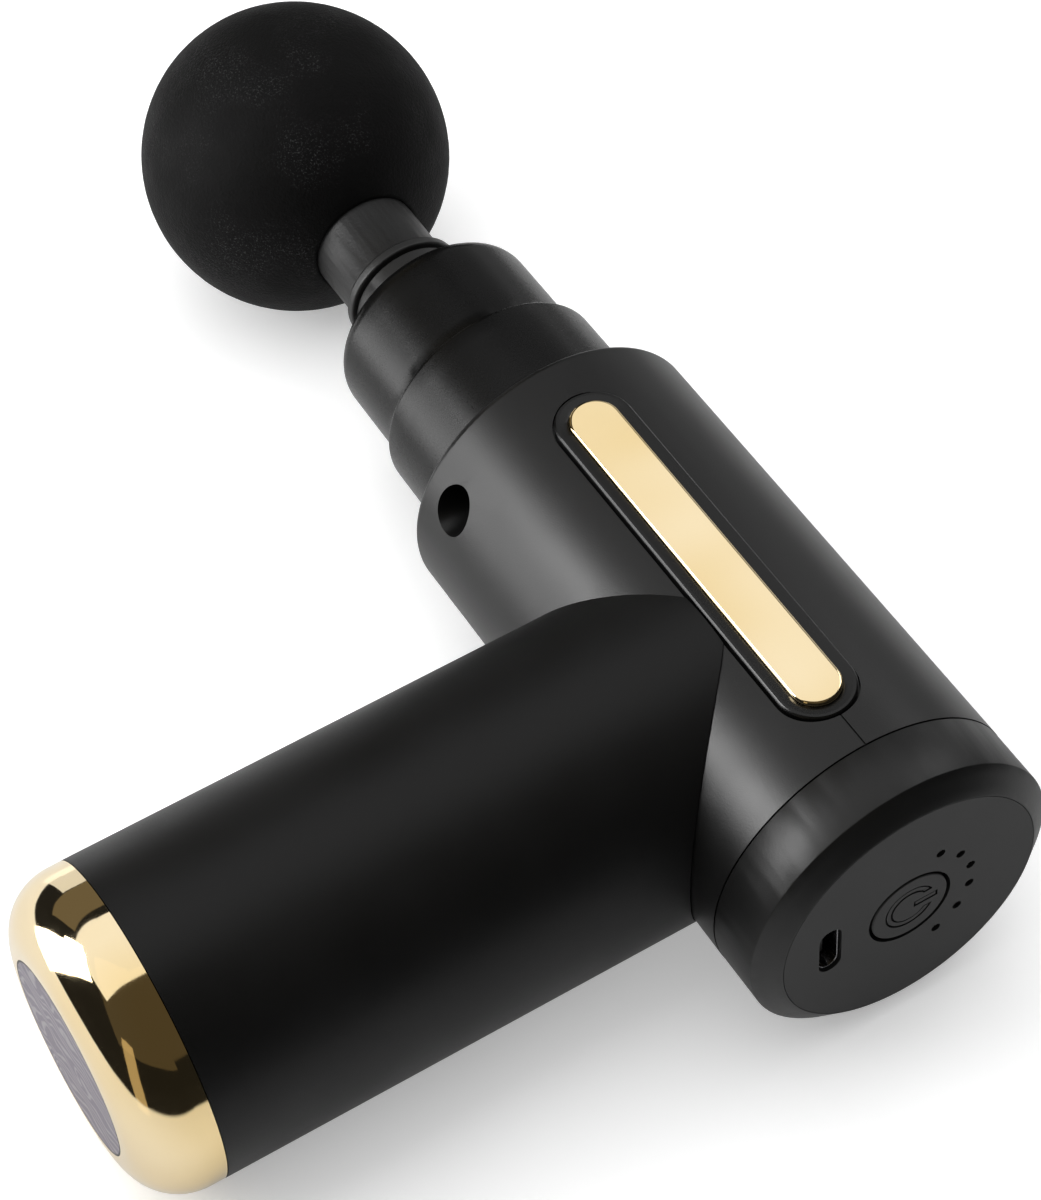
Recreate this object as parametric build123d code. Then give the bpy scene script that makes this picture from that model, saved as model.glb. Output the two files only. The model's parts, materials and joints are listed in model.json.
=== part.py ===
"""Hand-held percussion massage gun, lying on its side.

Frame: +X runs along the barrel towards the massage head, +Y runs along the handle towards its end,
and +Z is up. The origin is where the two axes cross, dropped to the surface that the gun lies on.
Every piece is drawn about the barrel and handle axes, and lifted by AXIS_HEIGHT when it is written.
"""
from build123d import *
from math import cos, radians, sin, sqrt
import os

# ---------------------------------------------------------------- driving dimensions, mm
AXIS_HEIGHT = 24.2          # barrel and handle axes above the surface

# Barrel, stations along X
REAR_X = -40.0              # rear face of the panel
CHAMFER_X = REAR_X + 2.5    # front of the rear chamfer
SEAM_X = REAR_X + 11.3      # seam between the rear ring and the shells
FRONT_X = REAR_X + 90.6     # front face of the shells
BARREL_R = 23.5
BARREL_FRONT_R = 23.2
FRONT_ROUNDING = 1.2
SHELL_WALL = 2.4
FRONT_WALL = 2.4
GROOVE = (0.16, 0.3)        # width and depth of the fine seam in front of the rear ring
PARTING_WIDTH = 0.24
SHELL_R = BARREL_R - SHELL_WALL
CRADLE_Y = 10.4             # where the handle's core tube ends inside the barrel

# Handle, stations along Y
GRIP_R = 23.28
GRIP_WALL = 1.58
CORE_R = 21.6
CORE_INNER_R = 20.1
CORE_END_Y = 93.6
CAP_Y = 93.75
HANDLE_END_Y = 104.4
CAP_ROUNDING = 8.7
CAP_WALL = 1.5
PLUG_WALL = 1.3
LABEL_R = 14.2
LABEL_THICKNESS = 0.5

# Nose
NOSE_STEP_X = REAR_X + 107.8
NOSE_END_X = REAR_X + 126.4
NOSE_R = 18.1
NOSE_GAP = 0.3              # round the nose, in the shells' front wall
NOSE_TIP_R = 16.25
NOSE_TIP_ROUNDING = 3.5
NOSE_OPENING_R = 12.5
NOSE_BORE_R = 15.5
HOUSING_R = 13.5
BUSH_R = 11.0

# Piston, crank and head
THROW = 3.6                 # crank pin's distance from the shaft, half the stroke
PISTON_R = 9.05
ROD_R = 6.0
PISTON_END_X = REAR_X + 132.5
SOCKET_R = 6.0
SOCKET_DEPTH = 26.5
YOKE_HALF_THICKNESS = 3.5
PIN_R = 1.5
PIN_BEARING_R = 4.0
SLOT_HALF_WIDTH = 4.95
COLLAR_X = PISTON_END_X + 0.3
COLLAR_R = 9.6
COLLAR_WIDTH = 1.8
STEM_R = 8.4
STEM_PLUG_R = 5.93
STEM_PLUG_LENGTH = 25.0
BALL_X = REAR_X + 168.0
BALL_R = 24.2

# Side trims: capsules along X on both sides of the barrel
BEZEL_X = (REAR_X + 17.2, REAR_X + 82.7)
BEZEL_HALF_WIDTH = 5.7
BEZEL_FACE = 23.6           # distance of the outer rim from the barrel axis
BEZEL_DISH = (1.3, 0.15)    # slope from the rim to the gold strip: across, and down
POCKET_FLOOR = 21.9
POCKET_GAP = 0.3
GOLD_X = (REAR_X + 19.2, REAR_X + 80.7)
GOLD_HALF_WIDTH = 3.75
GOLD_FLOOR = 22.6
GOLD_EDGE_R = 0.5           # rounding of the face's edge
PEG_R = 1.2

# Screws
WELL_X = REAR_X + 83.2      # screw wells near the barrel's front
WELL_Z = 11.4
WELL_R = 3.4
WELL_SEAT_Y = 5.5
WELL_BOSS_R = 4.3
RING_SCREW_CIRCLE = 17.3
RING_SCREW_ANGLES = (0, 120, 240)
PLUG_SCREW_CIRCLE = 17.4
CELL_GAP_ANGLES = (30, 150, 270)

# Rear panel
PANEL_R = 19.9
PANEL_THICKNESS = 1.2
BACKPLATE_THICKNESS = 1.5
BUTTON_R = 6.0
BUTTON_HOLE_R = 6.5
SYMBOL_R = (2.98, 3.62)
SYMBOL_BAR = ((-4.15, -0.95), 0.30)     # its span along Y and half its width
SYMBOL_GAP = 1.85           # half of the opening in the symbol's ring
SYMBOL_DEPTH = 0.7          # how deep the symbol is cut into the button
SYMBOL_EDGE = 0.28          # how much wider the cut is than the inlay, all round
SYMBOL_SINK = 0.06          # the inlay's face lies this far below the button's
SYMBOL_ROOT = 0.4           # how far the inlay is let into the bottom of the cut
LED_CIRCLE = 9.9
LED_ANGLES = (-62.5, -37.5, -12.5, 12.5, 37.5, 62.5)
LED_HOLE_R = 0.7
LED_PIN_R = 0.66
USB_Y = 12.6
USB_SIZE = (8.94, 3.26)
USB_OPENING = (9.1, 3.5)
BOARD_X = REAR_X + 9.0      # rear face of the control board
BOARD_THICKNESS = 1.6

# Motor, stations along Y
BASE_Y = 8.6
SHAFT_R = 1.98
BEARING_BORE_R = 2.0
BEARING_R = 4.5
BEARING_WIDTH = 4.0
EAR_CIRCLE = 23.4
EAR_R = 2.8
EAR_ANGLES = (22, 158, 202, 338)
STATOR_Y = (14.0, 21.0)
STATOR_TEETH = 9
MAGNETS = 12
CAN_R = 17.8
CAN_Y = (12.4, 26.2)

# Battery, stations along Y
CELL_R = 9.2
CELL_LENGTH = 65.0
CELL_CIRCLE = 10.75
CELL_Y = 29.6
CELL_ANGLES = (90, 210, 330)

PANEL_BACK_X = REAR_X + PANEL_THICKNESS
BACKPLATE_X = PANEL_BACK_X + BACKPLATE_THICKNESS
BOARD_FRONT_X = BOARD_X + BOARD_THICKNESS
WALL_X = FRONT_X - FRONT_WALL
FAR = 200.0                 # larger than the whole gun, for half spaces


# ---------------------------------------------------------------- plain shapes
def along_x(start, end, radius, y=0.0, z=0.0):
    """Cylinder parallel to the barrel axis."""
    return Pos((start + end) / 2, y, z) * Rot(0, 90, 0) * Cylinder(radius, end - start)


def along_y(start, end, radius, x=0.0, z=0.0):
    """Cylinder parallel to the handle axis."""
    return Pos(x, (start + end) / 2, z) * Rot(90, 0, 0) * Cylinder(radius, end - start)


def along_z(start, end, radius, x=0.0, y=0.0):
    """Upright cylinder."""
    return Pos(x, y, (start + end) / 2) * Cylinder(radius, end - start)


def block(x, y, z):
    """Box given by its (low, high) pair on each axis."""
    centre = Pos((x[0] + x[1]) / 2, (y[0] + y[1]) / 2, (z[0] + z[1]) / 2)
    return centre * Box(x[1] - x[0], y[1] - y[0], z[1] - z[0])


def outline(corners):
    """Face through corners (u, v) or (u, v, rounding)."""
    points = [corner[:2] for corner in corners]
    roundings = [corner[2] if len(corner) == 3 else 0 for corner in corners]
    return make_face(FilletPolyline(*points, radius=roundings, close=True))


def turned_x(corners):
    """Body turned about the barrel axis from (x, radius) corners."""
    return revolve(outline(corners), Axis.X)


def turned_y(corners):
    """Body turned about the handle axis from (y, radius) corners."""
    swapped = [(corner[1], corner[0]) + tuple(corner[2:]) for corner in corners]
    return revolve(outline(swapped), Axis.Y)


def capsule(span, half_width, bottom, top):
    """Flat bar along X with round ends, between two heights."""
    length = span[1] - span[0]
    sketch = Pos((span[0] + span[1]) / 2, 0, bottom) * SlotOverall(length, 2 * half_width)
    return extrude(sketch, top - bottom)


def both_sides(shape):
    """A shape and its mirror image below the barrel axis."""
    return shape + mirror(shape, about=Plane.XY)


def polar_yz(radius, angle):
    """Point on the rear face, with the angle counted from -Y."""
    return (-radius * cos(radians(angle)), radius * sin(radians(angle)))


def polar_xz(radius, angle):
    """Point round the handle axis, with the angle counted from +X."""
    return (radius * cos(radians(angle)), radius * sin(radians(angle)))


def turned_copy(shape, angle):
    """A shape turned about the handle axis, the same way as polar_xz counts."""
    return Rot(0, -angle, 0) * shape


def group(shapes):
    """Separate solids in one node."""
    return Compound([solid for shape in shapes for solid in shape.solids()])


def without(shape, cutters):
    """A shape with every solid of another one cut away."""
    for solid in cutters.solids():
        shape -= solid
    return shape


def screw_x(head_start, head_height, head_r, shank_end, shank_r, y, z):
    """Pan-head screw along +X with a cross recess in its head."""
    head_end = head_start + head_height
    body = along_x(head_start, head_end, head_r, y, z) + along_x(head_end, shank_end, shank_r, y, z)
    depth = (head_start - 1, head_start + head_height * 0.55)
    wide, thin = head_r * 0.6, head_r * 0.16
    body -= block(depth, (y - wide, y + wide), (z - thin, z + thin))
    return body - block(depth, (y - thin, y + thin), (z - wide, z + wide))


def screw_y(head_start, head_height, head_r, shank_end, shank_r, x, z):
    """Pan-head screw along -Y, or +Y if the shank ends further along, with a cross recess."""
    way = 1 if shank_end > head_start else -1
    head_end = head_start + way * head_height
    head = along_y(min(head_start, head_end), max(head_start, head_end), head_r, x, z)
    body = head + along_y(min(head_end, shank_end), max(head_end, shank_end), shank_r, x, z)
    inner = head_start + way * head_height * 0.55
    depth = (min(head_start - way, inner), max(head_start - way, inner))
    wide, thin = head_r * 0.6, head_r * 0.16
    body -= block((x - wide, x + wide), depth, (z - thin, z + thin))
    return body - block((x - thin, x + thin), depth, (z - wide, z + wide))


# ---------------------------------------------------------------- casing
HANDLE_SIDE = block((-FAR, FAR), (0, FAR), (-FAR, FAR))
COVER_SIDE = block((-FAR, FAR), (-FAR, 0), (-FAR, FAR))


def barrel_outside():
    front = (FRONT_X, BARREL_FRONT_R, FRONT_ROUNDING)
    return turned_x([(SEAM_X, 0), (SEAM_X, BARREL_R), front, (FRONT_X, 0)])


def barrel_shell():
    """Both halves of the barrel as one, with the wall behind the nose and the rib that holds the nose."""
    shell = barrel_outside() - along_x(SEAM_X - 1, WALL_X, SHELL_R)
    shell -= along_x(WALL_X - 1, FRONT_X + 1, NOSE_R + NOSE_GAP)
    shell -= parting_groove()
    rib_x = WALL_X - 3.8
    rib = along_x(rib_x, rib_x + 1.5, SHELL_R + 0.2) - along_x(rib_x - 1, rib_x + 3, SHELL_R - 1.8)
    return shell + rib


def parting_groove():
    """Fine groove along the joint of the two shells, behind the side trims."""
    half_width = PARTING_WIDTH / 2
    slit = block((SEAM_X - 1, BEZEL_X[0]), (-half_width, half_width), (-BARREL_R - 1, BARREL_R + 1))
    return slit - along_x(SEAM_X - 2, BEZEL_X[0] + 1, BARREL_R - GROOVE[1])


def trim_pocket():
    """Room for the bezels, and for the pegs that hold them."""
    span = (BEZEL_X[0] - POCKET_GAP, BEZEL_X[1] + POCKET_GAP)
    pocket = capsule(span, BEZEL_HALF_WIDTH + POCKET_GAP, POCKET_FLOOR, BARREL_R + 2)
    for x, y in peg_places():
        pocket += along_z(SHELL_R - 4, POCKET_FLOOR + 0.5, PEG_R + 0.05, x, y)
    return both_sides(pocket)


def peg_places():
    inset = 7.0
    return [(x, y) for x in (BEZEL_X[0] + inset, BEZEL_X[1] - inset) for y in (-3.0, 3.0)]


def ring_boss_places(angles):
    return [polar_yz(RING_SCREW_CIRCLE, angle) for angle in angles]


def barrel_cover_half():
    half = barrel_shell()
    for z in (-WELL_Z, WELL_Z):
        half += along_y(-BARREL_R, 0, WELL_BOSS_R, WELL_X, z) & along_x(SEAM_X, FRONT_X - 1, SHELL_R + 0.5)
    for y, z in ring_boss_places(RING_SCREW_ANGLES[:1]):
        half += along_x(BOARD_FRONT_X, BOARD_FRONT_X + 4.6, 4.0, y, z)
    rib_reach = sqrt(SHELL_R ** 2 - 9.5 ** 2)
    for z in (-8.25, 8.25):
        half += block((-12, 12), (-rib_reach - 0.5, -6.0), (z - 1.25, z + 1.25))
    half = half & COVER_SIDE
    for z in (-WELL_Z, WELL_Z):
        half -= along_y(-10.5, 1, 1.5, WELL_X, z)
    for y, z in ring_boss_places(RING_SCREW_ANGLES[:1]):
        half -= along_x(BOARD_FRONT_X - 1, BOARD_FRONT_X + 4.6, 1.2, y, z)
    return half - trim_pocket()


def barrel_body_half():
    """Handle-side half of the barrel, in one moulding with the tube inside the handle."""
    barrel_cavity = along_x(SEAM_X - 1, WALL_X, SHELL_R)
    above_cradle = barrel_cavity & block((-FAR, FAR), (-FAR, CRADLE_Y), (-FAR, FAR))
    core = along_y(0, CORE_END_Y, CORE_R) - above_cradle
    half = barrel_shell() + core
    for angle in EAR_ANGLES:
        x, z = polar_xz(EAR_CIRCLE, angle)
        half += along_y(CRADLE_Y, SHELL_R, EAR_R, x, z) & along_x(SEAM_X, WALL_X, SHELL_R + 0.5)
    half -= along_y(-1, CORE_END_Y + 1, CORE_INNER_R)
    for z in (-WELL_Z, WELL_Z):
        half += along_y(0, BARREL_R, WELL_BOSS_R, WELL_X, z) & along_x(SEAM_X, FRONT_X - 1, SHELL_R + 0.5)
    for y, z in ring_boss_places(RING_SCREW_ANGLES[1:]):
        half += along_x(BOARD_FRONT_X, BOARD_FRONT_X + 4.6, 4.0, y, z)
    for angle in CELL_GAP_ANGLES:
        x, z = polar_xz(PLUG_SCREW_CIRCLE, angle)
        half += along_y(82, CORE_END_Y, 3.0, x, z)
    half = half & HANDLE_SIDE
    for z in (-WELL_Z, WELL_Z):
        half -= along_y(WELL_SEAT_Y, BARREL_R + 1, WELL_R, WELL_X, z)
        half -= along_y(-1, WELL_SEAT_Y + 1, 1.6, WELL_X, z)
    for y, z in ring_boss_places(RING_SCREW_ANGLES[1:]):
        half -= along_x(BOARD_FRONT_X - 1, BOARD_FRONT_X + 4.6, 1.2, y, z)
    for angle in CELL_GAP_ANGLES:
        x, z = polar_xz(PLUG_SCREW_CIRCLE, angle)
        half -= along_y(83, CORE_END_Y + 1, 1.2, x, z)
    for angle in EAR_ANGLES:
        x, z = polar_xz(EAR_CIRCLE, angle)
        half -= along_y(CRADLE_Y - 1, CRADLE_Y + 6.5, 1.0, x, z)
    return half - trim_pocket()


def rear_ring():
    """Chamfered band with the back plate behind the panel, and the lip that enters the shells."""
    lip_r = SHELL_R - 0.05
    inner_r = 20.3
    band_r = BARREL_R - 0.05
    band_end = SEAM_X - GROOVE[0]
    lip_end = SEAM_X + 3.2
    ring = turned_x([
        (REAR_X, PANEL_R + 0.05), (REAR_X, PANEL_R + 0.2), (CHAMFER_X, band_r), (band_end, band_r),
        (band_end, lip_r), (lip_end, lip_r), (lip_end, inner_r), (BACKPLATE_X, inner_r),
        (BACKPLATE_X, 0), (PANEL_BACK_X, 0), (PANEL_BACK_X, PANEL_R + 0.05)])
    for y, z in ring_boss_places(RING_SCREW_ANGLES):
        ring += along_x(BACKPLATE_X - 0.5, BOARD_X, 3.2, y, z)
        ring -= along_x(PANEL_BACK_X - 0.5, PANEL_BACK_X + 2.0, 2.4, y, z)
        ring -= along_x(PANEL_BACK_X, BOARD_X + 1, 1.35, y, z)
        ring -= along_x(BOARD_FRONT_X - 0.3, SEAM_X + 4, 4.3, y, z)
    ring -= along_x(REAR_X, BACKPLATE_X + 1, BUTTON_HOLE_R)
    for angle in LED_ANGLES:
        ring -= along_x(REAR_X, BACKPLATE_X + 1, LED_HOLE_R + 0.45, *polar_yz(LED_CIRCLE, angle))
    return ring - usb_prism((USB_OPENING[0] + 0.2, USB_OPENING[1] + 0.2), REAR_X, BACKPLATE_X + 1)


def usb_prism(size, start, end):
    """Rounded bar along X through the charging port, with its long side along Z."""
    face = Plane(origin=(start, USB_Y, 0), x_dir=(0, 0, 1), z_dir=(1, 0, 0))
    sketch = face * RectangleRounded(size[0], size[1], size[1] / 2 - 0.05)
    return extrude(sketch, end - start)


def rear_panel():
    panel = along_x(REAR_X, PANEL_BACK_X, PANEL_R)
    panel -= along_x(REAR_X - 1, PANEL_BACK_X + 1, BUTTON_HOLE_R)
    for angle in LED_ANGLES:
        panel -= along_x(REAR_X - 1, PANEL_BACK_X + 1, LED_HOLE_R, *polar_yz(LED_CIRCLE, angle))
    return panel - usb_prism(USB_OPENING, REAR_X - 1, PANEL_BACK_X + 1)


def nose_cover():
    """Two-step nose, held by its flange behind the shells' front wall."""
    flange = (WALL_X - 2.2, WALL_X - 0.05)
    cover = turned_x([
        (flange[0], NOSE_BORE_R), (flange[0], SHELL_R - 0.7), (flange[1], SHELL_R - 0.7),
        (flange[1], NOSE_R), (NOSE_STEP_X, NOSE_R - 0.2, 1.0), (NOSE_STEP_X, NOSE_TIP_R),
        (NOSE_END_X, NOSE_TIP_R - 0.15, NOSE_TIP_ROUNDING), (NOSE_END_X, NOSE_OPENING_R),
        (83.7, NOSE_OPENING_R), (83.7, HOUSING_R + 0.1), (66.0, HOUSING_R + 0.1), (66.0, NOSE_BORE_R)])
    for z in (-WELL_Z, WELL_Z):
        cover -= along_y(-BARREL_R, BARREL_R, WELL_BOSS_R + 0.3, WELL_X, z)
    return cover


def nose_seal():
    outer_r = NOSE_OPENING_R - 0.05
    return turned_x([(83.8, 9.45), (83.8, outer_r), (85.8, outer_r), (85.8, 10.6)])


def bezel():
    plate = capsule(BEZEL_X, BEZEL_HALF_WIDTH, POCKET_FLOOR, BEZEL_FACE)
    plate = chamfer(plate.faces().sort_by(Axis.Z)[-1].edges(), 0.25)
    for x, y in peg_places():
        plate += along_z(SHELL_R - 1.6, POCKET_FLOOR + 0.3, PEG_R, x, y)
    recess = (GOLD_X[0] - 0.05, GOLD_X[1] + 0.05)
    plate -= capsule(recess, GOLD_HALF_WIDTH + 0.05, GOLD_FLOOR, BARREL_R + 2)
    face = plate.faces().sort_by(Axis.Z)[-1]
    return chamfer(face.inner_wires()[0].edges(), *BEZEL_DISH, reference=face)


def gold_trim():
    strip = capsule(GOLD_X, GOLD_HALF_WIDTH, GOLD_FLOOR, AXIS_HEIGHT)
    face = strip.faces().sort_by(Axis.Z)[-1]
    return fillet(face.edges(), GOLD_EDGE_R)


# ---------------------------------------------------------------- handle
def grip_sleeve():
    """Soft sleeve, cut to the barrel's curve at its upper end."""
    sleeve = along_y(0, CORE_END_Y, GRIP_R) - along_y(-1, CORE_END_Y + 1, GRIP_R - GRIP_WALL)
    return sleeve - along_x(-BARREL_R * 2, BARREL_R * 2, BARREL_R + 0.1) - trim_pocket()


def end_cap():
    inner_r = GRIP_R - CAP_WALL
    inner_y = HANDLE_END_Y - CAP_WALL
    cap = turned_y([(CAP_Y, 0), (CAP_Y, GRIP_R), (HANDLE_END_Y, GRIP_R, CAP_ROUNDING), (HANDLE_END_Y, 0)])
    inner_rounding = CAP_ROUNDING - CAP_WALL
    cap -= turned_y([(CAP_Y - 1, 0), (CAP_Y - 1, inner_r), (inner_y, inner_r, inner_rounding), (inner_y, 0)])
    return cap - along_y(HANDLE_END_Y - LABEL_THICKNESS, HANDLE_END_Y + 1, LABEL_R + 0.05)


def end_label():
    return along_y(HANDLE_END_Y - LABEL_THICKNESS, HANDLE_END_Y, LABEL_R)


def end_plug():
    """Cup under the gold cap that closes the core tube, with three screw towers."""
    outer_r = CORE_R
    outer_y = HANDLE_END_Y - CAP_WALL - 0.2
    rounding = CAP_ROUNDING - CAP_WALL - 0.2
    inner_y = outer_y - PLUG_WALL
    plug = turned_y([(CORE_END_Y, 0), (CORE_END_Y, outer_r), (outer_y, outer_r, rounding), (outer_y, 0)])
    plug -= turned_y([
        (CORE_END_Y - 1, 0), (CORE_END_Y - 1, outer_r - PLUG_WALL),
        (inner_y, outer_r - PLUG_WALL, rounding - PLUG_WALL), (inner_y, 0)])
    whole = turned_y([(CORE_END_Y, 0), (CORE_END_Y, outer_r), (outer_y, outer_r, rounding), (outer_y, 0)])
    for angle in CELL_GAP_ANGLES:
        x, z = polar_xz(PLUG_SCREW_CIRCLE, angle)
        plug += along_y(CORE_END_Y, outer_y, 3.3, x, z) & whole
        plug -= along_y(98.0, outer_y + 1, 2.5, x, z)
        plug -= along_y(CORE_END_Y - 1, 99, 1.3, x, z)
    return plug


def plug_screws():
    places = [polar_xz(PLUG_SCREW_CIRCLE, angle) for angle in CELL_GAP_ANGLES]
    return group([screw_y(99.6, 1.6, 2.3, 84.0, 1.2, x, z) for x, z in places])


def cell_places():
    return [polar_xz(CELL_CIRCLE, angle) for angle in CELL_ANGLES]


def battery_cells():
    """Three round cells, each with its button at the top end."""
    cells = []
    for x, z in cell_places():
        can = along_y(CELL_Y, CELL_Y + CELL_LENGTH - 0.6, CELL_R, x, z)
        can = fillet(can.edges(), 0.5)
        cells.append(can + along_y(CELL_Y + CELL_LENGTH - 1.2, CELL_Y + CELL_LENGTH, 3.0, x, z))
    return group(cells)


def cell_holder_front():
    holder = along_y(CELL_Y - 1.4, CELL_Y + 3.0, CORE_INNER_R - 0.2)
    for x, z in cell_places():
        holder -= along_y(CELL_Y - 0.2, CELL_Y + 4.0, CELL_R + 0.05, x, z)
        holder -= along_y(CELL_Y - 2.0, CELL_Y, 3.5, x, z)
    return without(holder, nickel_tabs())


def cell_holder_rear():
    cell_end = CELL_Y + CELL_LENGTH
    holder = along_y(cell_end - 2.4, cell_end + 1.4, CORE_INNER_R - 0.2)
    for x, z in cell_places():
        holder -= along_y(cell_end - 3.0, cell_end + 0.2, CELL_R + 0.05, x, z)
        holder -= along_y(cell_end, cell_end + 2.0, 3.5, x, z)
    for angle in CELL_GAP_ANGLES:
        x, z = polar_xz(PLUG_SCREW_CIRCLE, angle)
        holder -= along_y(cell_end - 3.0, cell_end + 2.0, 3.5, x, z)
        holder += along_y(cell_end + 0.5, cell_end + 2.4, 1.2, *polar_xz(11.0, angle))
    return without(holder, nickel_tabs())


def nickel_tabs():
    """Welded strips that join the cells end to end, two at each end of the pack."""
    tabs = []
    places = cell_places()
    for start, pair in ((CELL_Y - 0.2, (0, 1)), (CELL_Y + CELL_LENGTH, (1, 2))):
        single = 3 - sum(pair)
        (x0, z0), (x1, z1) = places[pair[0]], places[pair[1]]
        plane = Plane(origin=(0, start, 0), x_dir=(1, 0, 0), z_dir=(0, 1, 0))
        strip = SlotCenterToCenter(sqrt((x1 - x0) ** 2 + (z1 - z0) ** 2), 5.0)
        middle = plane.to_local_coords(Vector((x0 + x1) / 2, start, (z0 + z1) / 2))
        ends = [plane.to_local_coords(Vector(x, start, z)) for x, z in (places[pair[0]], places[pair[1]])]
        turn = (ends[1] - ends[0]).get_signed_angle(Vector(1, 0, 0), Vector(0, 0, -1))
        tabs.append(extrude(plane * Pos(middle.X, middle.Y) * Rot(0, 0, turn) * strip, 0.2))
        tabs.append(along_y(start, start + 0.2, 3.0, *places[single]))
    return group(tabs)


def protection_board():
    start = CELL_Y + CELL_LENGTH + 2.4
    face = start + 1.2
    board = along_y(start, face, 13.4)
    return board + block((-5, 5), (face, face + 1.2), (-3, 3)) + block((-9, -6), (face, face + 0.8), (-2, 2))


# ---------------------------------------------------------------- drive
def motor_base():
    """Mounting plate with four ears, and the tube that holds both bearings."""
    base = along_y(BASE_Y, CRADLE_Y, 19.9)
    for angle in EAR_ANGLES:
        x, z = polar_xz(EAR_CIRCLE, angle)
        base += along_y(BASE_Y, CRADLE_Y, EAR_R, x, z)
        arm = block((15, EAR_CIRCLE), (BASE_Y, CRADLE_Y), (-EAR_R, EAR_R))
        base += turned_copy(arm, angle)
        base -= along_y(BASE_Y - 1, CRADLE_Y + 1, 1.1, x, z)
    base += along_y(BASE_Y, 24.6, 5.7)
    base -= along_y(BASE_Y - 1, 25.0, 3.4)
    base -= along_y(BASE_Y - 1, BASE_Y + BEARING_WIDTH, BEARING_R)
    base -= along_y(24.6 - BEARING_WIDTH, 25.0, BEARING_R)
    return base - block((-20.5, -15.2), (BASE_Y - 1, CRADLE_Y + 1), (-3.4, 3.4))


def motor_bearings():
    starts = (BASE_Y, 24.6 - BEARING_WIDTH)
    rings = []
    for start in starts:
        end = start + BEARING_WIDTH
        ring = along_y(start, end, BEARING_R) - along_y(start - 1, end + 1, BEARING_BORE_R)
        for face in (start - 1, end - 0.3):
            ring -= along_y(face, face + 1.3, 3.9) - along_y(face - 1, face + 2, 2.7)
        rings.append(ring)
    return group(rings)


def stator_core():
    low, high = STATOR_Y
    core = along_y(low, high, 8.0)
    tips = along_y(low, high, 14.4) - along_y(low - 1, high + 1, 13.2)
    pitch = 360 / STATOR_TEETH
    for tooth in range(STATOR_TEETH):
        core += turned_copy(block((6.5, 13.6), (low, high), (-1.3, 1.3)), tooth * pitch)
        tips -= turned_copy(block((12, 15), (low - 1, high + 1), (-0.8, 0.8)), (tooth + 0.5) * pitch)
    return core + tips - along_y(low - 1, high + 1, 5.72)


def stator_windings():
    low, high = STATOR_Y
    coil = block((8.6, 12.8), (low - 1.1, high + 1.1), (-2.6, 2.6))
    coil = fillet(coil.edges().filter_by(Axis.X), 0.9)
    coil -= block((8, 14), (low - 0.05, high + 0.05), (-1.35, 1.35))
    pitch = 360 / STATOR_TEETH
    return group([turned_copy(coil, tooth * pitch) for tooth in range(STATOR_TEETH)])


def rotor_can():
    low, high = CAN_Y
    wall = 1.1
    can = along_y(low, high, CAN_R) - along_y(low - 1, high - 1.2, CAN_R - wall)
    can = can + along_y(high - 1.2, high + 1.2, 4.2)
    for step in range(6):
        can -= along_y(high - 2, high + 0.5, 3.0, *polar_xz(11.0, 60 * step))
    return can - along_y(low - 1, high + 2, SHAFT_R)


def rotor_magnets():
    low, high = STATOR_Y[0] - 0.5, STATOR_Y[1] + 0.5
    ring = along_y(low, high, CAN_R - 1.15) - along_y(low - 1, high + 1, 14.9)
    for step in range(MAGNETS):
        gap = block((14, 18), (low - 1, high + 1), (-0.4, 0.4))
        ring -= turned_copy(gap, step * 360 / MAGNETS)
    return group([ring])


def motor_shaft():
    return along_y(5.0, CAN_Y[1] + 1.2, SHAFT_R)


def motor_screws():
    places = [polar_xz(EAR_CIRCLE, angle) for angle in EAR_ANGLES]
    return group([screw_y(BASE_Y - 1.4, 1.4, 1.9, CRADLE_Y + 6.0, 1.0, x, z) for x, z in places])


def crank():
    """Disc on the motor shaft with a counterweight, and the crank pin in one piece with it."""
    low, high = 4.3, 8.3
    disc = along_y(low, high, 8.5)
    weight = along_y(low, high, 13.0) & block((-12, 12), (low, high), (-14, -3))
    pin = along_y(-3.3, low + 1, PIN_R, 0, THROW) + along_y(2.0, low + 1, 2.3, 0, THROW)
    body = disc + weight + pin
    body -= along_y(5.0, high + 1, SHAFT_R)
    return body - Pos(0, 6.6, 6) * Cylinder(1.0, 8)


def crank_set_screw():
    grub = along_z(SHAFT_R + 0.02, 6.4, 1.0, 0, 6.6)
    return grub - block((-0.5, 0.5), (6.1, 7.1), (5.2, 7))


def pin_bearing():
    ring = along_y(-2.0, 2.0, PIN_BEARING_R, 0, THROW) - along_y(-3, 3, PIN_R, 0, THROW)
    for face in (-3.0, 1.7):
        ring -= along_y(face, face + 1.3, 3.4, 0, THROW) - along_y(face - 1, face + 2, 2.3, 0, THROW)
    return ring


def pin_clip():
    clip = along_y(-2.6, -2.05, 2.8, 0, THROW) - along_y(-3, -2, PIN_R, 0, THROW)
    return clip - block((-0.9, 0.9), (-3, -2), (THROW, THROW + 4))


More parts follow.
